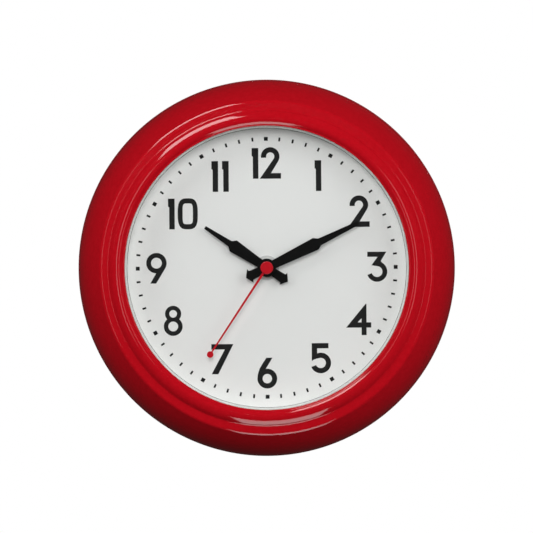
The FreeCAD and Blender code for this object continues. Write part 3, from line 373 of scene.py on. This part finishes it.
def banded_material(name, dark, light, pitch, roughness, metallic, bump):
    """Bands across X: the turns of a winding, with painted shade in the grooves between them, or the sleeve
    of a battery.
    """
    made, tree, links = new_material(name)
    place = add_node(tree, "ShaderNodeTexCoord")
    scale = math.tau / WAVE_UNIT / (pitch * MM)
    wave = add_node(tree, "ShaderNodeTexWave", Scale=scale, Distortion=BAND_WAVER)
    wave.bands_direction = "X"
    ramp = two_shades(tree, dark, light, (0, 1))
    relief = add_node(tree, "ShaderNodeBump", Strength=bump, Distance=BAND_RELIEF)
    shader = add_node(tree, "ShaderNodeBsdfPrincipled", Roughness=roughness, Metallic=metallic)
    links.new(place.outputs["Object"], wave.inputs["Vector"])
    link_surface(tree, links, wave, ramp, relief, shader)
    return made


def glass_material(name):
    """Clear flat glass: more of a mirror the more it is seen aslant, and open to light for the rest."""
    made, tree, links = new_material(name)
    slant = add_node(tree, "ShaderNodeLayerWeight")
    steep = add_node(tree, "ShaderNodeMath")
    steep.operation = "POWER"
    steep.inputs[1].default_value = GLASS_STEEPNESS
    share = add_node(tree, "ShaderNodeMapRange", To_Min=GLASS_FACE_ON)
    clear = add_node(tree, "ShaderNodeBsdfTransparent", Color=GLASS_TINT)
    mirror = add_node(tree, "ShaderNodeBsdfGlossy", Roughness=GLASS_ROUGHNESS)
    mix = add_node(tree, "ShaderNodeMixShader")
    output = add_node(tree, "ShaderNodeOutputMaterial")
    links.new(slant.outputs["Facing"], steep.inputs[0])
    links.new(steep.outputs["Value"], share.inputs["Value"])
    links.new(share.outputs["Result"], mix.inputs["Fac"])
    links.new(clear.outputs["BSDF"], mix.inputs[1])
    links.new(mirror.outputs["BSDF"], mix.inputs[2])
    links.new(mix.outputs["Shader"], output.inputs["Surface"])
    return made


def make_materials():
    """One material for each slot of the record."""
    made = {name: finish_material(name, **finish) for name, finish in FINISHES.items()}
    made.update({name: banded_material(name, **bands) for name, bands in BANDED.items()})
    made["clear_glass"] = glass_material("clear_glass")
    return made


MATERIALS = make_materials()


def material(slot):
    return MATERIALS[slot]


def dress_nodes():
    """Give every node of the frame the material of its slot."""
    for row in frame["record"]["subparts"]:
        mesh = nodes[row["node"]].data
        mesh.materials.clear()
        mesh.materials.append(material(row["material_slot"]))


# ---- case ----------------------------------------------------------------------------------------


def case_outline():
    """Section of the spun case, from the hem over the bead to the flange and back inside."""
    case_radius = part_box("case_shell")[1].x / MM
    crest = -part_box("case_shell")[0].y / MM
    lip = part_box("lens")[1].x / MM - LENS_OVERLAP
    seal_front = -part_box("lens_seal")[0].y / MM
    lip_front = crest - LIP_DROP
    crest_start = lip + LIP_WIDTH + LIP_DROP
    crest_end = crest_start + CREST_WIDTH
    bead_foot = crest_end + BEAD_DROP
    shoulder = bead_foot + LEDGE_WIDTH
    skirt = case_radius - SKIRT_INSET
    ledge = crest - BEAD_FALL
    flank = math.tan(HALF_BEND) * STEEL
    outer = [
        (lip, seal_front, 0),
        (lip, lip_front, LIP_ROUND),
        (lip + LIP_WIDTH, lip_front, LIP_HOLLOW),
        (crest_start, crest, CREST_INNER_ROUND),
        (crest_end, crest, CREST_OUTER_ROUND),
        (bead_foot, ledge, BEAD_HOLLOW),
        (shoulder, ledge, SHOULDER_ROUND),
        (skirt, BEND_HEIGHT, SKIRT_ROUND),
        (case_radius, FOOT_HEIGHT, FOOT_ROUND),
        (case_radius, 0, EDGE_ROUND),
        (case_radius - FLANGE_WIDTH, 0, 0),
    ]
    inner = [
        (case_radius - FLANGE_WIDTH, STEEL, 0),
        (case_radius - STEEL, STEEL, EDGE_ROUND - STEEL),
        (case_radius - STEEL, FOOT_HEIGHT, FOOT_ROUND),
        (skirt - STEEL, BEND_HEIGHT, SKIRT_ROUND),
        (shoulder - STEEL / 2, ledge - STEEL, SHOULDER_ROUND - STEEL),
        (bead_foot - flank, ledge - STEEL, BEAD_HOLLOW + STEEL),
        (crest_end - flank, crest - STEEL, CREST_OUTER_ROUND - STEEL),
        (crest_start + flank, crest - STEEL, CREST_INNER_ROUND - STEEL),
        (lip + LIP_WIDTH + flank, lip_front - STEEL, 0),
        (lip + STEEL, lip_front - STEEL, 0),
        (lip + STEEL, seal_front, 0),
    ]
    return rounded(outer + inner, ARC_STEP)


def make_case():
    case = lathe("case_turned", case_outline(), CASE_SEGMENTS, "clock_case", "red_enamel")
    case.data.set_sharp_from_angle(angle=SHARP_ANGLE)
    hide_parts("case_shell")


# ---- dial print ----------------------------------------------------------------------------------


def digit_arc(x, z, radius, start, end):
    """An arc of a digit, from one angle to another in degrees, the way round that the signs say."""
    return arc_points((x, z), radius, math.radians(start), math.radians(end), DIGIT_ARC_STEP)


def full_ring(x, z, radius):
    """A circle, finer the larger it is."""
    return arc_points((x, z), radius, 0, math.tau, min(DIGIT_ARC_STEP, LONGEST_CHORD / radius))[:-1]


def squared_ring(x, z, half_width, half_height, squareness):
    """A superellipse: round at 2 and nearly a rectangle at 5."""
    share = 2 / squareness
    points = []
    for i in range(SQUARED_POINTS):
        angle = math.tau * i / SQUARED_POINTS
        across = math.cos(angle)
        up = math.sin(angle)
        points.append((
            x + half_width * math.copysign(abs(across) ** share, across),
            z + half_height * math.copysign(abs(up) ** share, up),
        ))
    return points


def digit_outlines():
    """Each digit as closed outlines in millimetres, from its lower left corner; holes come after."""
    top = DIGIT_HEIGHT
    one = [(0.75, 0), (4.2, 0), (4.2, top), (0, top), (0, top - 5), (0.75, top - 5.5)]
    two = digit_arc(6.68, 14, 5.86, 188, -31.4) + [(7.12, 3.5), (13.43, 3.5), (13.43, 0), (0, 0)]
    two += digit_arc(6.68, 14, 2.6, -35.2, 196)
    three = [(0.44, 19), (12.5, 19), (8.9, 13.1)] + digit_arc(6.56, 6.49, 6.43, 60, -161)
    three += [(3.28, 5.55)] + digit_arc(6.56, 6.49, 3.4, -160, 90) + [(3.1, 10.5), (6.9, 15.8), (0.44, 15.8)]
    four = [(9.6, 0), (12.75, 0), (12.75, 4.75), (15.7, 4.75), (15.7, 8.05), (12.75, 8.05)]
    four += [(12.75, 19.7), (12.2, 19.7), (0, 4.95), (0, 4.75), (9.6, 4.75)]
    four_hole = [(9.6, 10.6), (7.1, 8.05), (9.6, 8.05)]
    five = [(0.2, 19.1), (10.8, 19.1), (10.8, 15.8), (3.65, 15.8)] + digit_arc(5.86, 6.56, 6.49, 110, -158)
    five += [(3.05, 5.25)] + digit_arc(5.86, 6.56, 3.22, -150, 112) + [(3.0, 9.25), (1.45, 8.65), (0.2, 7.8)]
    six = [(5.8, 19.4), (9.6, 19.4), (5.3, 12.4)] + digit_arc(6.24, 6.24, 6.24, 90, -180)
    six += [(0.32, 9.2), (1.39, 12.4), (3.28, 15.8)]
    seven = [(0, 19), (13.9, 19), (4.3, 0), (0.1, 0), (8.45, 15.6), (0, 15.6)]
    eight = digit_arc(5.93, 5.93, 5.93, 130, 410) + digit_arc(5.93, 13.87, 5.11, -42, 222)
    nine = digit_arc(6.43, 12.86, 6.43, -92, -391) + [(6.2, 0), (2.45, 0)]
    nothing = squared_ring(6.33, 9.77, 6.33, 9.77, 3.1)
    nothing_hole = squared_ring(6.33, 9.77, 3.22, 6.53, 5)
    return {
        "1": [one],
        "2": [two],
        "3": [three],
        "4": [four, four_hole],
        "5": [five],
        "6": [six, full_ring(6.24, 6.24, 2.96)],
        "7": [seven],
        "8": [eight, full_ring(5.93, 13.87, 2.4), full_ring(5.93, 5.93, 3.09)],
        "9": [nine, full_ring(6.43, 12.86, 3.4)],
        "0": [nothing, nothing_hole],
    }


def numeral_outlines():
    """Every numeral's outlines, each centred on its place on the dial."""
    digits = digit_outlines()
    placed = []
    for text, (x, z) in NUMERALS.items():
        loops = []
        for i, digit in enumerate(text):
            shift = i * DIGIT_GAP.get(text, 0)
            loops += [[(px + shift, pz) for px, pz in loop] for loop in digits[digit]]
        across = [point[0] for loop in loops for point in loop]
        up = [point[1] for loop in loops for point in loop]
        middle_x = (min(across) + max(across)) / 2
        middle_z = (min(up) + max(up)) / 2
        placed += [[(px - middle_x + x, pz - middle_z + z) for px, pz in loop] for loop in loops]
    return placed


def mark_outlines():
    """A square at each hour and a short bar at each of the other minutes."""
    marks = []
    for minute in range(MINUTES):
        hourly = minute % MINUTES_IN_HOUR_MARK == 0
        half_length = (HOUR_MARK if hourly else MINUTE_MARK_LENGTH) / 2
        half_width = (HOUR_MARK if hourly else MINUTE_MARK_WIDTH) / 2
        angle = math.tau * minute / MINUTES
        outward = (math.sin(angle), math.cos(angle))
        sideways = (math.cos(angle), -math.sin(angle))
        corners = []
        for along, side in ((-1, -1), (1, -1), (1, 1), (-1, 1)):
            reach = MARK_CIRCLE + along * half_length
            offset = side * half_width
            corners.append(tuple(reach * outward[k] + offset * sideways[k] for k in (0, 1)))
        marks.append(corners)
    return marks


def shade_line_outlines():
    """A fine dark line at the dial's edge, by the ring round it: painted shade where the ring meets the
    dial.
    """
    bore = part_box("lens")[1].x / MM - LENS_OVERLAP - SHADE_LINE_INSET
    return [full_ring(0, 0, bore), full_ring(0, 0, bore - SHADE_LINE_WIDTH)]


def filled_mesh(name, outlines):
    """A flat mesh with some thickness inside closed outlines in millimetres; inner ones are holes."""
    curve = bpy.data.curves.new(name, "CURVE")
    curve.dimensions = "2D"
    curve.fill_mode = "BOTH"
    curve.extrude = INK_THICKNESS * MM
    for outline in outlines:
        spline = curve.splines.new("POLY")
        spline.points.add(len(outline) - 1)
        for point, (x, z) in zip(spline.points, outline):
            point.co = (x * MM, z * MM, 0, 1)
        spline.use_cyclic_u = True
    holder = bpy.data.objects.new(name + "_curve", curve)
    bpy.context.scene.collection.objects.link(holder)
    bpy.context.view_layer.update()
    mesh = bpy.data.meshes.new_from_object(holder)
    bpy.data.objects.remove(holder)
    return mesh


def print_on_dial(name, outlines):
    """Ink of a thin, even film on the front of the dial; the same ink also draws the painted shade line at
    its edge.
    """
    mesh = filled_mesh(name, outlines)
    mesh.transform(Matrix.Rotation(QUARTER_TURN, 4, "X"))
    mesh.transform(Matrix.Translation((0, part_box("dial")[0].y, 0)))
    mesh.materials.clear()
    mesh.materials.append(material("dial_ink"))
    piece = bpy.data.objects.new(name, mesh)
    bpy.context.scene.collection.objects.link(piece)
    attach(piece, "clock_case")


# ---- camera, light and floor ---------------------------------------------------------------------


def towards(azimuth, polar):
    """Unit vector: azimuth anticlockwise from +X seen from the front, polar from the dial's axis."""
    a, p = math.radians(azimuth), math.radians(polar)
    return Vector((math.sin(p) * math.cos(a), -math.cos(p), math.sin(p) * math.sin(a)))


def softbox(name, azimuth, polar, distance, width, height, radiance, in_gloss):
    """Area light that faces the clock: width runs round the axis, height away from it.

    It shows in gloss alone, or else on matt surfaces alone.
    """
    light = bpy.data.lights.new(name, "AREA")
    light.shape = "RECTANGLE"
    light.size = width
    light.size_y = height
    light.energy = radiance * math.pi * width * height
    lamp = bpy.data.objects.new(name, light)
    out = towards(azimuth, polar)
    around = towards(azimuth + 90, 90)
    away = out.cross(around)
    turn = Matrix((around, away, out)).transposed().to_4x4()
    lamp.matrix_world = Matrix.Translation(out * distance) @ turn
    lamp.visible_camera = False
    lamp.visible_diffuse = not in_gloss
    lamp.visible_glossy = in_gloss
    bpy.context.scene.collection.objects.link(lamp)


def make_lights():
    for name, settings in MATT_LIGHTS.items():
        softbox(name, *settings, in_gloss=False)
    for name, settings in GLOSS_LIGHTS.items():
        softbox(name, *settings, in_gloss=True)


def background(tree, level):
    """An even grey of one brightness."""
    return add_node(tree, "ShaderNodeBackground", Color=(level, level, level, 1))


def make_world():
    """White for the camera, a dim even light on matt surfaces, and nearly dark in the gloss."""
    world = bpy.data.worlds.new("studio")
    world.use_nodes = True
    tree = world.node_tree.nodes
    links = world.node_tree.links
    tree.clear()
    path = tree.new("ShaderNodeLightPath")
    matt = background(tree, WORLD_MATT)
    gloss = background(tree, WORLD_GLOSS)
    seen = background(tree, WORLD_SEEN)
    in_gloss = tree.new("ShaderNodeMixShader")
    in_view = tree.new("ShaderNodeMixShader")
    output = tree.new("ShaderNodeOutputWorld")
    links.new(path.outputs["Is Glossy Ray"], in_gloss.inputs["Fac"])
    links.new(matt.outputs["Background"], in_gloss.inputs[1])
    links.new(gloss.outputs["Background"], in_gloss.inputs[2])
    links.new(path.outputs["Is Camera Ray"], in_view.inputs["Fac"])
    links.new(in_gloss.outputs["Shader"], in_view.inputs[1])
    links.new(seen.outputs["Background"], in_view.inputs[2])
    links.new(in_view.outputs["Shader"], output.inputs["Surface"])
    bpy.context.scene.world = world


def make_floor():
    """Plain pale floor below the clock, out of the main view."""
    signs = ((-1, -1), (1, -1), (1, 1), (-1, 1))
    corners = [(FLOOR_HALF * x, FLOOR_HALF * y) for x, y in signs]
    mesh = bpy.data.meshes.new("floor")
    mesh.from_pydata([(x, y, FLOOR_HEIGHT) for x, y in corners], [], [(0, 1, 2, 3)])
    floor = bpy.data.objects.new("floor", mesh)
    mesh.materials.append(finish_material("floor", **FLOOR_FINISH))
    floor.visible_glossy = False
    floor.visible_diffuse = False
    bpy.context.scene.collection.objects.link(floor)


def make_camera():
    data = bpy.data.cameras.new("camera")
    data.lens = FOCAL_LENGTH
    data.sensor_width = SENSOR_WIDTH
    camera = bpy.data.objects.new("camera", data)
    look = Matrix.Rotation(QUARTER_TURN, 4, "X") @ Matrix.Rotation(CAMERA_ROLL, 4, "Z")
    camera.matrix_world = Matrix.Translation((CAMERA_RIGHT, -CAMERA_DISTANCE, CAMERA_RAISE)) @ look
    bpy.context.scene.collection.objects.link(camera)
    bpy.context.scene.camera = camera


dress_nodes()
make_case()
print_on_dial("dial_numerals", numeral_outlines())
print_on_dial("dial_marks", mark_outlines())
# Painted shade: a fine dark line in the dial's ink where the ring round the dial meets it.
print_on_dial("dial_edge_shade_line", shade_line_outlines())
make_lights()
make_world()
make_floor()
make_camera()
bpy.context.scene.view_settings.view_transform = "Standard"
